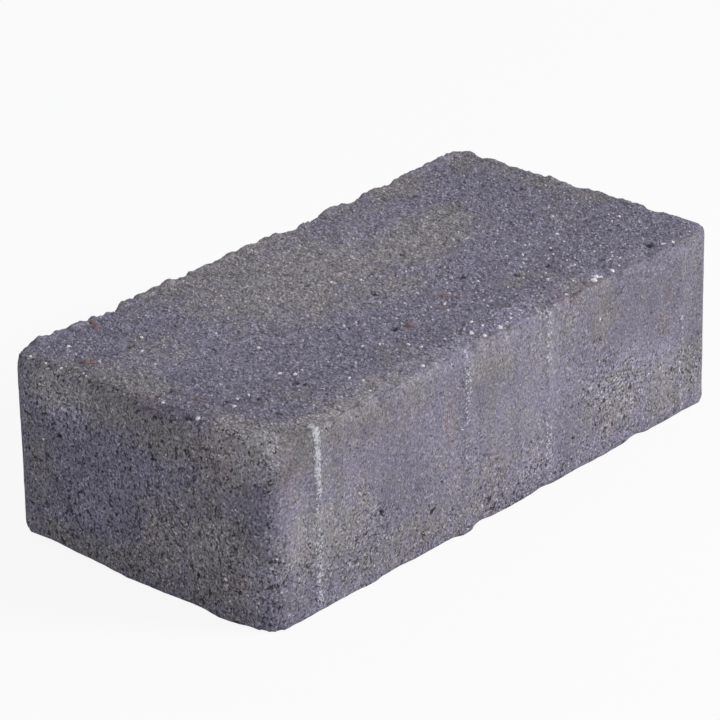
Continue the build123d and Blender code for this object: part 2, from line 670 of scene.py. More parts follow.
# %% How warm the mix is
cloud_rim = 1.75  # of a cloud's reach, where it ends
cloud_core = 0.2  # and within which it is full
warm_fray = 5.0
warm_fray_size = 14.0
scattered_warm = 0.5
scattered_size = 24.0
scattered_range = (0.05, 0.7)
smear_inner = 3
smear_outer = 1
smear_band = (56, 53)
smear_base = 0.12
smear_loss = 0.36


def cloud_cover(clouds, place):
    """The strongest of some clouds at a place, each with a middle, a reach and a strength."""
    strongest = 0.0
    for middle, reach, strength in clouds:
        offset = place - Vector(middle)
        distance = math.sqrt(sum((offset[axis] / reach[axis]) ** 2 for axis in range(3)))
        strongest = max(strongest, strength * ramp(distance, cloud_rim, cloud_core))
    return strongest


def warm_at(place):
    """How much of the warm mix shows at a place. The mould smeared the long sides, so they vary less."""
    frayed = place + warm_fray * noise.noise_vector(place / warm_fray_size)
    scattered = scattered_warm * ramp(lumps(place, scattered_size, drift=11.0), *scattered_range)
    warm = max(cloud_cover(warm_clouds, frayed), scattered)
    on_side = ramp(abs(place.y), half_width_mm - smear_inner, half_width_mm - smear_outer)
    smeared = on_side * ramp(place.z, *smear_band)
    return warm + (smear_base - smear_loss * warm) * smeared


warm_layer = stone.verts.layers.float.new("warm")
for vert in stone.verts:
    vert[warm_layer] = warm_at(vert.co / MM)
print("warm share:", round(sum(vert[warm_layer] for vert in stone.verts) / len(stone.verts), 2))

# %% [markdown]
# ## Scuffed ribs
# The ribs rub on whatever lies next to the stone, and their crests turn white with lime dust. Each rib gets
# its own strength in its upper, middle and lower third. The value is the share of grains that are rubbed
# white, so the material can turn it into dots.

# %% Scuffs on the ribs
rib_reach = 5.0  # how far to either side a vertex still belongs to its rib
rib_depth = 3.0  # how far in and out
foot_to_middle = (16, 26)  # heights between which one third passes into the next
middle_to_head = (34, 44)
scuffs = {  # rib number: shares at the foot, in the middle and at the head
    0: (0.38, 0.30, 0.68),
    1: (0.06, 0.14, 0.34),
    2: (0.27, 0.06, 0.25),
    3: (0.18, 0.12, 0.0),
    10: (0.0, 0.0, 0.0),
    11: (0.12, 0.12, 0.0),
}
other_scuff = (0.05, 0.10, 0.35)


def scuff_at(place):
    """The share of grains that are rubbed white at a place, and how far it lies beside its rib's crest."""
    for number, (foot, away) in enumerate(rib_feet):
        from_foot = place - foot / MM
        beside = from_foot.dot(Vector((-away.y, away.x, 0)))
        if abs(from_foot.dot(away)) < rib_depth and abs(beside) < rib_reach:
            low, middle, high = scuffs.get(number, other_scuff)
            share = low + (middle - low) * ramp(place.z, *foot_to_middle)
            share += (high - middle) * ramp(place.z, *middle_to_head)
            return share, abs(beside)
    return 0.0, rib_reach


scuff_layer = stone.verts.layers.float.new("scuff")
beside_layer = stone.verts.layers.float.new("beside_rib")
for vert in stone.verts:
    vert[scuff_layer], vert[beside_layer] = scuff_at(vert.co / MM)
print("vertices on ribs:", sum(vert[beside_layer] < rib_reach for vert in stone.verts))

# %% [markdown]
# ## Dry patches
# Where the mix was dry it didn't flow, and gaps stay open between the grains. That is worst on the near end
# and low on the sides, where the press packs least. The driest patches are placed as clouds.

# %% How dry the mix is
dry_base = 0.27
dry_low_down = 0.14
low_band = (38, 18)
dry_end = 0.50
end_inner = 8
end_outer = 2
dry_spread = 0.28
dry_size = 18.0
dry_clouds = (
    ((-72, -49, 16), (28, 8, 12), 0.36),
    ((56, -49, 17), (18, 8, 10), 0.34),
    ((88, -49, 14), (10, 8, 10), 0.32),
    ((5, -49, 3), (60, 8, 7), 0.34),
    ((-20, 49, 14), (50, 8, 12), 0.30),
    ((60, 49, 20), (20, 8, 14), 0.30),
    ((99, 0, 16), (8, 36, 14), 0.34),
)


def dry_at(place):
    """How open the concrete is at a place."""
    low_down = ramp(place.z, *low_band)
    on_end = ramp(-place.x, half_length_mm - end_inner, half_length_mm - end_outer)
    uneven = dry_spread * lumps(place, dry_size, drift=12.0)
    dry = dry_base + dry_low_down * low_down + dry_end * on_end + uneven + cloud_cover(dry_clouds, place)
    return min(max(dry, 0.0), 1.0)


dry_layer = stone.verts.layers.float.new("dry")
for vert in stone.verts:
    vert[dry_layer] = dry_at(vert.co / MM)
print("mean dryness:", round(sum(vert[dry_layer] for vert in stone.verts) / len(stone.verts), 2))

# %% [markdown]
# ## Brick dust
# Some of the aggregate is crushed brick, and its dust tints the cement round it. The tint is faint, and it
# lies in small clouds that are placed in the same way as those of the warm mix.

# %% Clouds of brick dust
dust_fray = 3.0
dust_fray_size = 5.0
dust_clouds = (
    ((75, -49, 33), (3, 6, 4), 0.9),
    ((77, -49, 43), (2, 6, 4), 0.9),
    ((43, -49, 43), (4, 6, 5), 0.7),
    ((50, -49, 9), (5, 6, 4), 0.7),
    ((-13, -27, 57), (5, 3, 4), 0.9),
    ((8, -22, 57), (7, 4, 4), 0.8),
    ((33, -47, 56), (12, 5, 3), 1.0),
    ((-90, -49, 46), (5, 6, 7), 1.0),
    ((-62, -49, 32), (2, 6, 10), 0.6),
    ((-48, -49, 47), (4, 6, 7), 0.5),
    ((-23, -49, 38), (3, 6, 8), 0.8),
    ((-37, -49, 7), (7, 6, 5), 0.5),
    ((-5, -49, 12), (5, 6, 8), 0.6),
    ((10, 48, 57), (80, 4, 4), 0.5),
    ((-90, 27, 57), (4, 4, 4), 1.0),
    ((-97, -4, 56), (4, 5, 4), 0.8),
    ((-88, -13, 57), (4, 3, 4), 0.8),
    ((-99, -29, 50), (5, 8, 7), 1.0),
    ((-99, -5, 16), (5, 3, 3), 0.9),
    ((-99, 31, 6), (5, 6, 3), 0.8),
    ((-99, -36, 12), (5, 5, 5), 0.8),
    ((20, 49, 40), (9, 6, 8), 0.7),
    ((99, 20, 40), (6, 8, 8), 0.7),
)

dust_layer = stone.verts.layers.float.new("dust")
for vert in stone.verts:
    place = vert.co / MM
    frayed = place + dust_fray * noise.noise_vector(place / dust_fray_size)
    vert[dust_layer] = cloud_cover(dust_clouds, frayed)
print("mean dust:", round(sum(vert[dust_layer] for vert in stone.verts) / len(stone.verts), 3))

# %% [markdown]
# ## Pale and dark clouds
# These soft clouds lighten or darken the cement. Partly they are painted light and shade, for where the lamp
# lit
# the stone more or less: the top edges that catch the light and the shaded near end are painted paler, and
# some of the dark clouds are painted shade. Partly they are uneven tone of the cement. The strength of each is
# the share by which it lightens or darkens the cement.

# %% Pale clouds: painted light and paler tone
tone_and_light_clouds = (
    ((2, 16, 57), (52, 28, 12), 0.16),
    ((-62, 8, 57), (22, 16, 12), 0.08),
    ((-78, 12, 57), (14, 10, 8), 0.12),
    ((-8, 44, 57), (14, 6, 6), 0.14),
    ((-45, -45, 57), (60, 5, 4), 0.26),
    ((10, -44, 57), (24, 4, 4), 0.28),
    ((50, -44, 57), (30, 4, 4), 0.18),
    ((-99, 0, 26), (5, 60, 34), 0.15),
    ((-99, 29, 48), (6, 12, 7), 0.75),
    ((-98, -34, 53), (6, 14, 6), 0.48),
    ((-97, -44, 53), (8, 8, 7), 0.70),
    ((-99, 30, 10), (5, 7, 5), 0.26),
    ((-99, 5, 11), (5, 6, 6), 0.26),
    ((-99, 30, 26), (5, 6, 6), 0.24),
    ((-99, 6, 27), (5, 5, 5), 0.22),
    ((-99, -30, 26), (5, 5, 6), 0.30),
    ((-99, 18, 17), (6, 7, 7), 0.42),
    ((-99, -6, 17), (6, 6, 7), 0.36),
    ((-99, -18, 10), (5, 5, 5), 0.24),
    ((-99, -43, 13), (6, 6, 8), 0.40),
    ((-85, -49, 26), (14, 6, 12), 0.10),
    ((16, -49, 30), (8, 6, 28), 0.08),
    ((15, -49, 9), (8, 6, 6), 0.18),
    ((-59, -49, 22), (6, 6, 9), 0.16),
    ((58, -49, 20), (20, 6, 8), 0.18),
    ((2, -30, 57), (8, 5, 5), 0.14),
)
print("pale clouds:", len(tone_and_light_clouds))

# %% Dark clouds: painted shade and darker tone
tone_and_shade_clouds = (
    ((84, 0, 57), (12, 60, 12), 0.06),
    ((0, -31, 57), (100, 6, 6), 0.04),
    ((-80, -49, 44), (12, 6, 8), 0.12),
    ((-94, -10, 57), (10, 40, 6), 0.06),
    ((-92, -49, 52), (12, 6, 7), 0.42),
    ((-62, -49, 51), (24, 6, 5), 0.15),
    ((64, -49, 44), (30, 6, 13), 0.18),
    ((55, -49, 51), (18, 6, 5), 0.24),
    ((92, -49, 34), (8, 6, 16), 0.20),
    ((-8, -49, 42), (13, 6, 6), 0.14),
    ((-45, -49, 25), (9, 6, 20), 0.15),
    ((-60, -49, 8), (40, 6, 6), 0.06),
    ((-92, -49, 9), (8, 6, 7), 0.14),
    ((-99, 42, 24), (6, 6, 12), 0.14),
    ((-99, -28, 34), (5, 8, 4), 0.24),
    ((-99, -42, 26), (5, 5, 5), 0.16),
    ((-99, -30, 9), (5, 6, 5), 0.16),
    ((-99, -43, 38), (5, 6, 8), 0.12),
    ((32, -49, 16), (10, 6, 8), 0.13),
)
print("dark clouds:", len(tone_and_shade_clouds))

# %% How much lighter or darker each place is painted
tone_and_light_fray = 4.0
tone_and_light_fray_size = 9.0


def tone_and_light_at(place):
    """How much lighter or darker a place is painted: painted light and shade, and uneven tone."""
    frayed = place + tone_and_light_fray * noise.noise_vector(place / tone_and_light_fray_size)
    return cloud_cover(tone_and_light_clouds, frayed) - cloud_cover(tone_and_shade_clouds, frayed)


# painted light and shade, and uneven tone, held as a value at each vertex
tone_and_light_layer = stone.verts.layers.float.new("tone_and_light")
for vert in stone.verts:
    vert[tone_and_light_layer] = tone_and_light_at(vert.co / MM)
print("palest bloom:", round(max(vert[tone_and_light_layer] for vert in stone.verts), 2))

# %% [markdown]
# ## A flat map of the stone
# The material below works from places in space, and needs no map. Other programs do, and for them the material
# can be baked into a picture. Blender's own unwrap would tear the rough face into thousands of scraps, so the
# stone is unfolded as the box that it nearly is, into six rectangles at one scale.

# %% Six rectangles
map_gap = 4.0
map_long = 2 * half_length_mm + map_gap
map_short = 2 * half_width_mm + map_gap
map_wall = height_mm + map_gap
map_size = 2 * (map_short + map_wall)
to_map_corner = Vector((half_length_mm, half_width_mm, 0)) + Vector((map_gap, map_gap, map_gap)) / 2
top_sheet = (0, 1, 0, 0)  # the axes that run across and up the sheet, and the sheet's corner
bed_sheet = (0, 1, 0, map_short)
near_side_sheet = (0, 2, 0, 2 * map_short)
far_side_sheet = (0, 2, 0, 2 * map_short + map_wall)
near_end_sheet = (1, 2, map_long, 0)
far_end_sheet = (1, 2, map_long, map_wall)


def sheet_of(place):
    """The sheet of the unfolded box that a place belongs to."""
    if min(place.z, height_mm - place.z) < inset(place):
        return top_sheet if place.z > height_mm / 2 else bed_sheet
    away = outward(place)
    if abs(away.x) > abs(away.y):
        return far_end_sheet if away.x > 0 else near_end_sheet
    return far_side_sheet if away.y > 0 else near_side_sheet


stone_map = stone.loops.layers.uv.new("OFBake")
for face in stone.faces:
    across, up, left, bottom = sheet_of(face.calc_center_median() / MM)
    for loop in face.loops:
        place = loop.vert.co / MM + to_map_corner
        loop[stone_map].uv = ((left + place[across]) / map_size, (bottom + place[up]) / map_size)
print("map:", round(map_size), "mm square")

# %% The stone as an object
stone_mesh = bpy.data.meshes.new("pressed_stone")
stone.to_mesh(stone_mesh)
stone_mesh.shade_smooth()
pressed_stone = bpy.data.objects.new("pressed_stone", stone_mesh)
bpy.context.collection.objects.link(pressed_stone)
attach(pressed_stone, "root")
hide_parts("paving_stone")
triangles = sum(len(face.vertices) - 2 for face in stone_mesh.polygons)
print("pressed stone:", triangles, "triangles")

# %% [markdown]
# ## Sand on the wear face
# Seen from low down, the top is a crowd of single grains, and a flat pattern would look like dashes there.
# So the sand is real: thousands of small angular stones, half sunk in the face. All are copies of one small
# icosphere, turned and squashed by chance and joined in three meshes, because separate objects would be slow.
# The chance is seeded, so the grains lie the same in every run.

# %% Shape of one grain
grain_shape = bmesh.new()
bmesh.ops.create_icosphere(grain_shape, subdivisions=1, radius=1)
grain_corners = numpy.array([vert.co[:] for vert in grain_shape.verts])
grain_faces = numpy.array([[vert.index for vert in face.verts] for face in grain_shape.faces])
print("one grain:", len(grain_corners), "corners,", len(grain_faces), "faces")

# %% Where grains lie
dice_seed = 5
dice = random.Random(dice_seed)
skin = BVHTree.FromBMesh(stone)
upwards = Vector((0, 0, 1))
look_from = 20.0  # the skin under a place is found from this far outside
sunk_in_face = 0.15  # of its radius, how far a grain's middle lies under the skin
sunk_in_lip = 0.6
sunk_in_side = 0.75
top_band = 1.0  # a place less than this under the top is on the top
lip_band = (4.0, 1.5)  # distances in from the side
squash_range = (0.7, 1.2)
bare_rim = 0.8  # no grain lies this near to the side by chance
bare_pit = 0.4  # or where a pit is deeper than this share


def lay_grain(place, radius):
    """One grain on the skin at a place: its middle, and the matrix that turns and squashes it."""
    on_top = place.z > height_mm - top_band
    facing = upwards if on_top else outward(place)
    in_lip = ramp(inset(place), *lip_band)
    sunk = sunk_in_face + (sunk_in_lip - sunk_in_face) * in_lip if on_top else sunk_in_side
    spot, normal = skin.ray_cast((place + facing * look_from) * MM, -facing)[:2]
    turned = Euler([dice.uniform(0, math.tau) for axis in range(3)]).to_matrix()
    squash = Matrix.Diagonal([radius * MM * dice.uniform(*squash_range) for axis in range(3)])
    return spot - normal * radius * MM * sunk, turned @ squash


def scattered_spots(count):
    """Points in plan, spread by chance over the top."""
    spots = []
    while len(spots) < count:
        x = dice.uniform(-half_length_mm, half_length_mm)
        y = dice.uniform(-half_width_mm, half_width_mm)
        spot = Vector((x, y, height_mm))
        pit = wear_face_relief(spot)[1]
        if inset(spot) > bare_rim and pit < bare_pit:
            spots.append(spot)
    return spots


print("skin has", len(stone.faces), "faces to lay grains on")

# %% [markdown]
# ## What a grain is made of
# Most grains wear a coat of cement, a little lighter or darker than their neighbours. Some are bare: white
# quartz, which lies thickest along the front of the top, and chips of red brick. The mesh holds that as three
# values for each grain, which the concrete material reads.

# %% Kinds of grain
quartz_share = 0.010
pale_share = 0.035
brick_share = 0.005
tone_spread = 0.55
front_gain = 3.0  # how much more white sand lies at the front of the top
front_band = (10, -40)  # where that begins and is full, along Y and along X
front_stretch = (-60, 40)
white_range = (0.5, 1.0)
pale_range = (0.1, 0.4)


def grain_kind(spot, white_share):
    """Tone, quartz and brick of a grain at a spot. That share is white, and more of them at the front."""
    front_share = white_share * (1 + front_gain * ramp(spot.y, *front_band) * ramp(spot.x, *front_stretch))
    chance = dice.random()
    tone = dice.uniform(-tone_spread, tone_spread)
    if chance < front_share:
        return tone, dice.uniform(*white_range), 0.0
    if chance < front_share + pale_share:
        return tone, dice.uniform(*pale_range), 0.0
    if chance > 1 - brick_share:
        return tone, 0.0, 1.0
    return tone, 0.0, 0.0


print("at the front up to", quartz_share * (1 + front_gain), "of the fine grains are white")

# %% Many grains in one mesh
cell_fill = 0.45  # half of what a grain fills of its cell on the map


def joined_grains(name, grains):
    """One object from grains, each a middle, a matrix and its tone, quartz and brick."""
    middles = numpy.array([middle[:] for middle, matrix, kind in grains])
    matrices = numpy.array([[row[:] for row in matrix] for middle, matrix, kind in grains])
    corners = numpy.einsum("nij,cj->nci", matrices, grain_corners) + middles[:, None, :]
    first_corners = numpy.arange(len(grains)) * len(grain_corners)
    faces = grain_faces[None, :, :] + first_corners[:, None, None]
    mesh = bpy.data.meshes.new(name)
    mesh.from_pydata(corners.reshape(-1, 3), [], faces.reshape(-1, 3))
    tone, quartz, brick = zip(*(kind for middle, matrix, kind in grains))
    values = {"grain_tone": tone, "quartz": quartz, "brick": brick}
    values["warm"] = [warm_at(middle / MM) for middle, matrix, kind in grains]
    # the grains get the same painted light and shade as the skin under them
    values["tone_and_light"] = [tone_and_light_at(middle / MM) for middle, matrix, kind in grains]
    values["loose"] = [1.0] * len(grains)
    values["granular"] = [1.0] * len(grains)
    for layer, numbers in values.items():
        attribute = mesh.attributes.new(layer, "FLOAT", "POINT")
        attribute.data.foreach_set("value", numpy.repeat(numbers, len(grain_corners)))
    across = math.ceil(math.sqrt(len(grains)))
    map_cells = numpy.stack(numpy.divmod(numpy.arange(len(grains)), across), axis=1)
    map_places = (map_cells[:, None, :] + 0.5 + cell_fill * grain_corners[None, :, :2]) / across
    mesh.uv_layers.new(name="OFBake").uv.foreach_set("vector", map_places[:, grain_faces].ravel())
    piece = bpy.data.objects.new(name, mesh)
    bpy.context.collection.objects.link(piece)
    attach(piece, "root")
    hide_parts("paving_stone")
    print(name, "has", len(grains), "grains and", len(mesh.polygons), "triangles")
    return piece


print("each grain brings", len(grain_faces), "triangles")

# %% Fine sand in two halves
fine_count = 19000
fine_radius = (0.26, 0.42)
near_grains = []
far_grains = []
for spot in scattered_spots(fine_count):
    radius = dice.uniform(*fine_radius)
    grain = (*lay_grain(spot, radius), grain_kind(spot, quartz_share))
    if spot.x < 0:
        near_grains.append(grain)
    else:
        far_grains.append(grain)
near_fine_sand = joined_grains("near_fine_sand", near_grains)
far_fine_sand = joined_grains("far_fine_sand", far_grains)

# %% [markdown]
# ## Coarse sand
# The grains that catch the eye in the photograph are listed one by one, each with a place and a radius: white
# quartz, most of it along the front of the top, and chips of brick. Those on the sides are sunk so far that
# only a small cap shows. The rest of the coarse sand is scattered as the fine sand was.

# %% Single grains
quartz_grains = (
    ((-52, -3, 57), 0.8), ((-61, -19, 57), 0.7), ((-59, -23, 57), 0.7), ((-51, -36, 57), 0.6),
    ((-50, -40, 57), 0.6), ((-23, -38, 57), 0.7), ((-24, -34, 57), 0.7), ((-29, -28, 57), 0.7),
    ((-33, -25, 57), 0.6), ((-22, -13, 57), 0.6), ((-3, -15, 57), 0.6), ((2, 6, 57), 0.5),
    ((13, 19, 57), 0.5), ((-1, -38, 57), 0.7), ((-7, -43, 57), 0.8), ((-15, -40, 57), 0.6),
    ((-6, -47, 57), 1.0), ((1, -47, 57), 1.0), ((8, -45, 57), 0.7), ((13, -31, 57), 0.6),
    ((4, -24, 57), 0.6), ((36, -36, 57), 0.6), ((48, -27, 57), 0.6), ((44, -47, 57), 1.5),
    ((46, -46, 57), 1.1), ((47, -47, 57), 1.3), ((53, -46.5, 57), 0.9), ((57, -46, 57), 0.7),
    ((31, -47, 57), 0.7), ((-1, -42, 57), 0.7), ((78, -46, 57), 0.9), ((82, -47, 57), 0.9),
    ((87, -23, 57), 0.6), ((-77, -22, 57), 0.6), ((-85, -24, 57), 0.8),
    ((-94, -26, 57), 0.6), ((-96, -21, 57), 0.9), ((-95, -7, 57), 0.6), ((-96, 31, 57), 0.7),
    ((-96, 37, 57), 0.6), ((-96, 43, 57), 0.7), ((-85, 39, 57), 0.6), ((-74, 21, 57), 0.6),
    ((-99, 9, 20), 0.7), ((-99, -37, 35), 0.9), ((-99, -33, 27), 0.7), ((-99, -10, 11), 0.6),
    ((-99, -33, 13), 0.8), ((-99, -40, 15), 0.7), ((-99, -22, 6), 0.7), ((-99, 23, 38), 0.6),
    ((-99, 13, 36), 0.6), ((-99, -11, 35), 0.6), ((-99, 36, 34), 0.6), ((-99, -27, 42), 0.6),
    ((-99, -18, 22), 0.6), ((-99, 23, 10), 0.6), ((-98, -45, 6), 0.9), ((-99, -32, 50), 0.7),
    ((44, -49, 45), 0.7), ((68, -49, 19), 0.6), ((-19, -49, 33), 0.7), ((-34, -49, 4), 0.7),
    ((-18, -49, 2), 0.7), ((2, -49, 46), 0.6), ((19, -49, 16), 0.7), ((15, -49, 31), 0.6),
    ((-78, -49, 36), 0.6), ((78, -49, 52), 0.6),
)
brick_grains = (
    ((-90, 27, 57), 1.4), ((-88.5, 26, 57), 1.2), ((-95.5, -3, 57), 0.9), ((-88, -13, 57), 1.2),
    ((-71, 42, 57), 1.3), ((-69, 45, 57), 1.1), ((-14, -26, 57), 1.5), ((-12.5, -25.5, 57), 1.1),
    ((-16.5, -25, 57), 0.7), ((1, -25, 57), 1.1), ((8, -20, 57), 1.0), ((10, -24, 57), 1.1),
    ((-2, -15, 57), 0.6), ((-54, -4, 57), 0.7), ((-44, -9, 57), 0.7), ((-56, 25, 57), 0.7),
    ((69, 36, 57), 0.8), ((28, -46.5, 57), 0.8), ((34, -46.8, 57), 0.7), ((41, -46.5, 57), 0.8),
    ((-99, -5, 16), 1.2), ((-99, 0, 37), 0.8), ((-99, 11, 33), 0.8), ((-99, -35, 11), 1.1),
    ((-99, 31, 6), 1.1), ((75, -49, 32), 0.9), ((40, -49, 40), 0.8), ((-22, -49, 40), 0.8),
)
all_quartz = (0.0, 1.0, 0.0)  # tone, quartz and brick
dull_brick = (0.0, 0.0, 0.85)
laid_by_hand = []
for place, radius in quartz_grains:
    laid_by_hand.append((*lay_grain(Vector(place), radius), all_quartz))
for place, radius in brick_grains:
    laid_by_hand.append((*lay_grain(Vector(place), radius), dull_brick))
print("grains laid by hand:", len(laid_by_hand))

# %% Coarse sand
coarse_count = 5000
least_coarse = 0.38
most_coarse = 0.75
small_bias = 3  # a higher power makes more of the grains small
coarse_quartz_share = 0.014
coarse_grains = []
for spot in scattered_spots(coarse_count):
    radius = least_coarse + (most_coarse - least_coarse) * dice.random() ** small_bias
    coarse_grains.append((*lay_grain(spot, radius), grain_kind(spot, coarse_quartz_share)))
coarse_sand = joined_grains("coarse_sand", coarse_grains + laid_by_hand)

# %% [markdown]
# ## Building a material in code
# Nodes are wordy to make one by one. These helpers make a node, set its inputs and connect it in one call,
# so that the material below reads as a list of what the concrete is made of.

# %% Helpers for nodes
concrete = bpy.data.materials.new("pressed_concrete")
concrete.use_nodes = True
nodes = concrete.node_tree.nodes
links = concrete.node_tree.links


def feed(socket, value):
    """Connects a socket to another, or sets it."""
    if isinstance(value, bpy.types.NodeSocket):
        links.new(value, socket)
    else:
        socket.default_value = value


def maths(operation, first, second=0.0):
    """A Math node."""
    node = nodes.new("ShaderNodeMath")
    node.operation = operation
    feed(node.inputs[0], first)
    feed(node.inputs[1], second)
    return node.outputs[0]


def blend(share, first, second):
    """A mix of two colours."""
    node = nodes.new("ShaderNodeMix")
    node.data_type = "RGBA"
    feed(node.inputs[0], share)
    feed(node.inputs[6], first)
    feed(node.inputs[7], second)
    return node.outputs[2]


def between(share, first, second):
    """A mix of two numbers."""
    node = nodes.new("ShaderNodeMix")
    feed(node.inputs[0], share)
    feed(node.inputs[2], first)
    feed(node.inputs[3], second)
    return node.outputs[0]


def shaded(colour, factor):
    """A colour times a number."""
    node = nodes.new("ShaderNodeVectorMath")
    node.operation = "SCALE"
    feed(node.inputs[0], colour)
    feed(node.inputs[3], factor)
    return node.outputs[0]


def remap(value, from_low, from_high, to_low=0.0, to_high=1.0):
    """A smooth, clamped change of range."""
    node = nodes.new("ShaderNodeMapRange")
    node.interpolation_type = "SMOOTHSTEP"
    for socket, number in zip(node.inputs, (value, from_low, from_high, to_low, to_high)):
        feed(socket, number)
    return node.outputs[0]


def painted(name):
    """A value that the mesh holds at its vertices, or 0 where it holds none."""
    node = nodes.new("ShaderNodeAttribute")
    node.attribute_name = name
    return node.outputs["Fac"]


def grey(value):
    """A neutral colour."""
    return (value, value, value, 1.0)


print("node helpers are ready")

# %% Helpers for patterns
object_place = nodes.new("ShaderNodeTexCoord").outputs["Object"]


def stretched_place(x, y, z):
    """Object coordinates that are scaled along the three axes."""
    node = nodes.new("ShaderNodeMapping")
    links.new(object_place, node.inputs["Vector"])
    node.inputs["Scale"].default_value = (x, y, z)
    return node.outputs["Vector"]


def cloudy(size, detail=2.0, roughness=0.55, place=object_place):
    """Noise with features of that size in millimetres."""
    node = nodes.new("ShaderNodeTexNoise")
    links.new(place, node.inputs["Vector"])
    node.inputs["Scale"].default_value = 1 / (size * MM)
    node.inputs["Detail"].default_value = detail
    node.inputs["Roughness"].default_value = roughness
    return node.outputs["Fac"]


def cells(size, place=object_place):
    """Voronoi cells of that size in millimetres: distance from a cell's middle, and a chance for each."""
    node = nodes.new("ShaderNodeTexVoronoi")
    links.new(place, node.inputs["Vector"])
    node.inputs["Scale"].default_value = 1 / (size * MM)
    parts = nodes.new("ShaderNodeSeparateColor")
    links.new(node.outputs["Color"], parts.inputs[0])
    return node.outputs["Distance"], parts.outputs[0]


def about_zero(value):
    """A value from 0 to 1 as one from -0.5 to 0.5."""
    return maths("SUBTRACT", value, 0.5)


on_wear_face = painted("granular")
print("pattern helpers are ready")

# %% [markdown]
# ## Cement: the two mixes
# Both mixes are greys of about the same lightness. One leans to violet, and the other is nearly neutral and a
# touch paler. The clouds that the mesh holds choose between them, and noise a few millimetres wide breaks
# their border up.

# %% Violet and warm cement
violet_cement = (0.219, 0.206, 0.270, 1.0)
warm_cement = (0.248, 0.235, 0.250, 1.0)
brick_dust = (0.242, 0.192, 0.203, 1.0)
border_size = 4.5  # sizes of noise here and below are in millimetres
border_fray = 1.5
dust_size = 1.5
blush_size = 2.4
fray = maths("MULTIPLY", about_zero(cloudy(border_size)), border_fray)
two_mixes = blend(remap(maths("ADD", painted("warm"), fray), 0.1, 0.9), violet_cement, warm_cement)
dusty = maths("MULTIPLY", painted("dust"), remap(cloudy(dust_size), 0.35, 0.6, 0.0, 0.8))
blush = remap(cloudy(blush_size), 0.57, 0.70, 0.0, 0.4)
tinted = blend(maths("MAXIMUM", dusty, blush), two_mixes, brick_dust)
# painted light and shade: the pale and dark clouds that the mesh holds lighten or darken the cement
cement = shaded(tinted, maths("ADD", painted("tone_and_light"), 1.0))
print("nodes up to the cement:", len(nodes))

# %% [markdown]
# ## Sand in the cement
# Each grain of sand is a little lighter or darker than the cement. A Voronoi cell for each grain gives it one
# tone of its own, and noise adds clumps and mottling. No grain is a neat cell, so noise first bends the
# coordinates a little. On the sides the mould drew the grains upright, so there the pattern is stretched
# along Z, and faint streaks run down.

# %% Crooked coordinates
bend_size = 0.6 * MM
bend_length = 0.35 * MM
grain_draw = 0.9  # less than 1 stretches a pattern upright
streak_draw = 0.05
bend_noise = nodes.new("ShaderNodeTexNoise")
links.new(object_place, bend_noise.inputs["Vector"])
bend_noise.inputs["Scale"].default_value = 1 / bend_size


def crooked(place):
    """Coordinates that are bent a little, so that cells lose their straight borders."""
    centred = nodes.new("ShaderNodeVectorMath")
    centred.operation = "SUBTRACT"
    links.new(bend_noise.outputs["Color"], centred.inputs[0])
    centred.inputs[1].default_value = (0.5, 0.5, 0.5)
    bent = nodes.new("ShaderNodeVectorMath")
    bent.operation = "MULTIPLY_ADD"
    links.new(centred.outputs[0], bent.inputs[0])
    bent.inputs[1].default_value = (bend_length, bend_length, bend_length)
    links.new(place, bent.inputs[2])
    return bent.outputs[0]


crooked_place = crooked(object_place)
drawn_place = crooked(stretched_place(1.0, 1.0, grain_draw))
streak_place = stretched_place(1.0, 1.0, streak_draw)
print("coordinates bend by up to", round(bend_length / 2 / MM, 3), "mm")

# %% Tone of the wear face
sand_size = 0.6
clump_size = 1.8
loose_lightness = 1.18  # loose grains catch more light than the face between them
top_chance = cells(sand_size, crooked_place)[1]
face_tone = remap(top_chance, 0.0, 1.0, 0.70, 1.25)
loose_tone = maths("ADD", painted("grain_tone"), loose_lightness)
clumps = remap(cloudy(clump_size, detail=1.0), 0.3, 0.7, 0.82, 1.18)
top_tone = maths("MULTIPLY", between(painted("loose"), face_tone, loose_tone), clumps)
print("nodes up to the wear face:", len(nodes))

# %% Tone of the sides
patch_size = 7.0
patch_strength = 0.9
mottle_size = 0.65
grain_strength = 0.25
streak_size = 2.5
side_lightness = 0.98
patches = maths("MULTIPLY", about_zero(cloudy(patch_size)), patch_strength)
open_texture = remap(maths("ADD", painted("dry"), patches), 0.0, 1.1)
mottle = about_zero(cloudy(mottle_size, detail=1.5, roughness=0.6, place=drawn_place))
side_chance = cells(sand_size, drawn_place)[1]
single = maths("MULTIPLY", about_zero(side_chance), grain_strength)
uneven = maths("MULTIPLY", maths("ADD", mottle, single), remap(open_texture, 0.1, 0.9, 1.6, 2.1))
bright = remap(side_chance, 0.86, 1.0, 0.0, 0.75)
bright = maths("MULTIPLY", bright, remap(open_texture, 0.2, 0.9, 0.5, 1.0))
streaks = remap(cloudy(streak_size, place=streak_place), 0.3, 0.7, 0.94, 1.06)
side_tone = maths("ADD", maths("ADD", uneven, bright), side_lightness)
side_tone = maths("MULTIPLY", side_tone, streaks)
tone = between(on_wear_face, side_tone, top_tone)
sandy = shaded(cement, tone)
print("nodes up to the sides:", len(nodes))

# %% [markdown]
# ## Quartz and brick
# A few grains stand out: white quartz that sparkles, and chips of red brick. Loose grains hold that in their
# mesh. In the face itself it is a choice among Voronoi cells by chance, limited to the middle of the cell so
# that the grain is smaller than its cell.

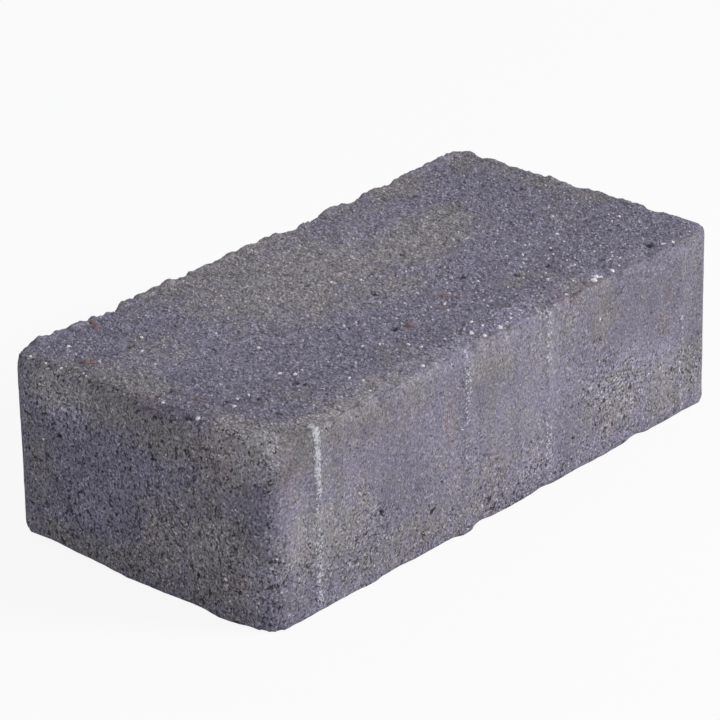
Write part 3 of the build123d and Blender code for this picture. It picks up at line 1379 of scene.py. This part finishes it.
# %% Grains that stand out
quartz_white = (0.82, 0.80, 0.82, 1.0)
brick_red = (0.20, 0.115, 0.095, 1.0)
speck_size = 1.1
face_speck = 0.5  # strength of the specks on the wear face
brick_chip_size = 2.4
chip_strength = 0.5
brick_cover = 0.8
spot_distance, spot_chance = cells(speck_size, crooked_place)
speck = maths("MULTIPLY", remap(spot_chance, 0.86, 0.99), remap(spot_distance, 0.42, 0.25))
side_speck = remap(open_texture, 0.3, 0.9, 0.2, 0.7)
speck = maths("MULTIPLY", speck, between(on_wear_face, side_speck, face_speck))
quartz = maths("MAXIMUM", speck, painted("quartz"))
with_quartz = blend(quartz, sandy, quartz_white)
chip_distance, chip_chance = cells(brick_chip_size, crooked_place)
chip = maths("MULTIPLY", remap(chip_chance, 0.985, 0.99), remap(chip_distance, 0.5, 0.25))
brick = maths("MAXIMUM", maths("MULTIPLY", chip, chip_strength), painted("brick"))
with_brick = blend(maths("MULTIPLY", brick, brick_cover), with_quartz, brick_red)
print("nodes up to quartz and brick:", len(nodes))

# %% [markdown]
# ## Pores
# Between the grains there are gaps that hold no light, most where the mix was dry. They are the lowest spots
# of a noise that is drawn out upright. A smooth step cuts them off, so their borders are crisp but not hard.

# %% Gaps between the grains
pore_shadow = (0.022, 0.020, 0.025, 1.0)
pore_draw = 0.85
small_gap = 0.75
large_gap = 1.6
small_gap_depth = 0.7
pore_cover = 0.88
pore_place = crooked(stretched_place(1.0, 1.0, pore_draw))
openness = remap(open_texture, 0.0, 1.0, 0.03, -0.07)
small_noise = cloudy(small_gap, place=pore_place)
small_gaps = remap(maths("ADD", small_noise, openness), 0.37, 0.31)
large_noise = cloudy(large_gap, detail=3.0, roughness=0.65, place=pore_place)
large_gaps = remap(maths("ADD", large_noise, openness), 0.345, 0.305)
# painted shade: the pits that the mesh holds are darkened by their depth
pit_shade = remap(painted("pit_shade"), 0.25, 0.95, 0.0, 0.92)
shallow = maths("MULTIPLY", small_gaps, small_gap_depth)
pores = maths("MAXIMUM", shallow, maths("MAXIMUM", large_gaps, pit_shade))
with_pores = blend(maths("MULTIPLY", pores, pore_cover), with_brick, pore_shadow)
print("nodes up to the pores:", len(nodes))

# %% [markdown]
# ## Lime on the ribs
# A scuff is a crowd of white dots, because only the proudest grains are rubbed. Each grain has a chance, and
# the share that the mesh holds says how many of them are white. Where many are, a thin smear joins them.

# %% Scuffs over everything
lime_white = (0.62, 0.65, 0.71, 1.0)
dot_size = 0.5
crest_edge = 1.9  # from the crest's middle, in millimetres
crest_core = 0.4
rub_size = 1.6
scuff_cover = 0.72
dot_chance = cells(dot_size, crooked_place)[1]
on_crest = remap(painted("beside_rib"), crest_edge, crest_core)
uneven_rub = remap(cloudy(rub_size), 0.3, 0.7, 0.75, 1.25)
rubbed = maths("MULTIPLY", maths("MULTIPLY", painted("scuff"), on_crest), uneven_rub)
dots = remap(maths("ADD", dot_chance, rubbed), 0.98, 1.12)
smear = remap(rubbed, 0.3, 0.75, 0.0, 0.45)
scuff = maths("MAXIMUM", dots, smear)
finished_colour = blend(maths("MULTIPLY", scuff, scuff_cover), with_pores, lime_white)
print("nodes up to the scuffs:", len(nodes))

# %% [markdown]
# ## Surface of the concrete
# Concrete is matt. The bump is the part of the relief that is too fine for the mesh: the skin of each grain,
# drawn streaks and pores on the sides.

# %% Shader
cement_roughness = 0.92
quartz_roughness = 0.4
tone_height = 0.6  # light grains stand higher than dark ones
bump_height = 0.4 * MM
shader = nodes["Principled BSDF"]
links.new(finished_colour, shader.inputs["Base Color"])
links.new(remap(quartz, 0.0, 1.0, cement_roughness, quartz_roughness), shader.inputs["Roughness"])
shader.inputs["Specular IOR Level"].default_value = 0.35
grain_height = maths("SUBTRACT", maths("MULTIPLY", tone, tone_height), pores)
bump = nodes.new("ShaderNodeBump")
bump.inputs["Strength"].default_value = 0.9
bump.inputs["Distance"].default_value = bump_height
links.new(grain_height, bump.inputs["Height"])
links.new(bump.outputs["Normal"], shader.inputs["Normal"])
for piece in (pressed_stone, near_fine_sand, far_fine_sand, coarse_sand):
    piece.data.materials.append(concrete)
print("concrete has", len(nodes), "nodes")

# %% [markdown]
# ## Floor and light
# The stone lies on a plain pale floor. To the camera the floor is mostly its own white, so the background
# stays clean, and the rest of it is lit, so the shadow stays too. One large soft lamp on the right lights the
# long side most, the top less and the near end hardly, as in the photograph, and a pale world fills in.

# %% Floor
floor_reach = 4.0  # metres from its middle
floor_grey = 0.82
glow_share = 0.9  # of the floor's own white, to the camera
floor_shape = bmesh.new()
bmesh.ops.create_grid(floor_shape, x_segments=1, y_segments=1, size=floor_reach)
floor_mesh = bpy.data.meshes.new("floor")
floor_shape.to_mesh(floor_mesh)
floor = bpy.data.objects.new("floor", floor_mesh)
bpy.context.collection.objects.link(floor)
print("floor runs from", floor_mesh.vertices[0].co.x, "to", floor_mesh.vertices[-1].co.x, "m")

# %% Paint of the floor
floor_paint = bpy.data.materials.new("floor_paint")
floor_paint.use_nodes = True
nodes = floor_paint.node_tree.nodes  # from here on the helpers work on the floor's nodes
links = floor_paint.node_tree.links
nodes["Principled BSDF"].inputs["Base Color"].default_value = grey(floor_grey)
nodes["Principled BSDF"].inputs["Roughness"].default_value = 0.9
rays = nodes.new("ShaderNodeLightPath")
seen = maths("MAXIMUM", rays.outputs["Is Camera Ray"], rays.outputs["Is Glossy Ray"])
seen = maths("MAXIMUM", seen, rays.outputs["Is Transmission Ray"])
white = nodes.new("ShaderNodeEmission")
white.inputs["Color"].default_value = grey(1.0)
floor_mix = nodes.new("ShaderNodeMixShader")
links.new(maths("MULTIPLY", seen, glow_share), floor_mix.inputs[0])
links.new(nodes["Principled BSDF"].outputs[0], floor_mix.inputs[1])
links.new(white.outputs[0], floor_mix.inputs[2])
links.new(floor_mix.outputs[0], nodes["Material Output"].inputs["Surface"])
floor_mesh.materials.append(floor_paint)
print("floor paint has", len(nodes), "nodes")

# %% Lamp
lamp_azimuth = math.radians(30)  # from -Y towards +X
lamp_elevation = math.radians(27)
lamp_distance = 1.3
lamp_data = bpy.data.lights.new("soft_lamp", "AREA")
lamp_data.shape = "DISK"
lamp_data.size = 0.6
lamp_data.energy = 12.2
lamp_data.color = (1.0, 0.99, 0.96)
lamp = bpy.data.objects.new("soft_lamp", lamp_data)
lamp_turn = Matrix.Rotation(lamp_azimuth, 4, "Z")
lamp_turn = lamp_turn @ Matrix.Rotation(math.radians(90) - lamp_elevation, 4, "X")
step_back = Matrix.Translation((0, 0, lamp_distance))
lamp.matrix_world = Matrix.Translation(stone_middle) @ lamp_turn @ step_back
bpy.context.collection.objects.link(lamp)
print("lamp stands at", [round(value, 2) for value in lamp.matrix_world.translation])

# %% World
world = bpy.data.worlds.new("pale_world")
bpy.context.scene.world = world
world.use_nodes = True
world_light = 0.47
nodes = world.node_tree.nodes  # and now on the world's
links = world.node_tree.links
rays = nodes.new("ShaderNodeLightPath")
background = nodes["Background"]
background.inputs["Color"].default_value = (0.97, 0.98, 1.04, 1.0)
links.new(remap(rays.outputs["Is Camera Ray"], 0.0, 1.0, world_light, 1.0), background.inputs["Strength"])
bpy.context.scene.view_settings.view_transform = "Standard"
print("the world lights the stone at", world_light, "and shows as white")
